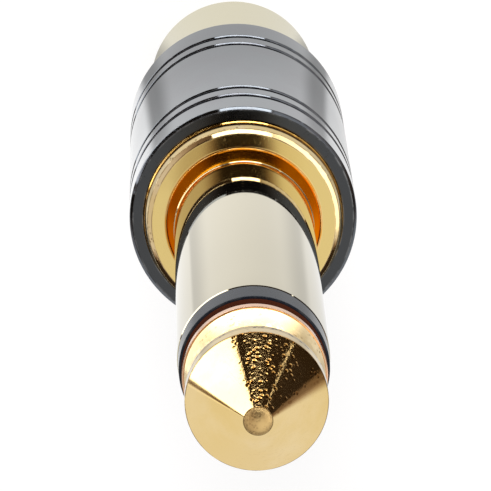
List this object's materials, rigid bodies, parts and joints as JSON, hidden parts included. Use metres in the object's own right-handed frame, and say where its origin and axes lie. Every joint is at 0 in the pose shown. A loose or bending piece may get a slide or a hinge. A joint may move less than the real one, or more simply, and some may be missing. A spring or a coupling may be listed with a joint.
{
  "type": "jack plug to phono socket adapter",
  "caption": "Straight round audio adapter: a 6.35 mm two-pole jack plug with a gold finish, a dark grooved shell, and a phono socket at the other end.",
  "frame": {"origin": "centre of the open end of the phono socket, on the plane of its rim", "axes": "+Z along the turned axis towards the nose of the jack plug; +X towards the leg of the solder tag inside the shell"},
  "size_m": [0.0104, 0.0104, 0.0614],
  "materials": {
    "gold_plating": "polished gold plating on turned brass",
    "dark_chrome": "dark bright chrome plating",
    "black_plastic": "glossy moulded black plastic",
    "white_plastic": "plain white tube",
    "tinned_copper": "tinned and soldered"
  },
  "bodies": {
    "root": {"tip": "gold_plating", "centre_rod": "gold_plating", "tip_ring": "black_plastic", "rod_liner": "white_plastic", "sleeve": "gold_plating", "rear_bush": "black_plastic", "solder_tag": "tinned_copper", "link_wire": "tinned_copper", "shell": "dark_chrome", "phono_barrel": "gold_plating", "phono_insert": "black_plastic", "phono_contact": "gold_plating"}
  },
  "joints": []
}
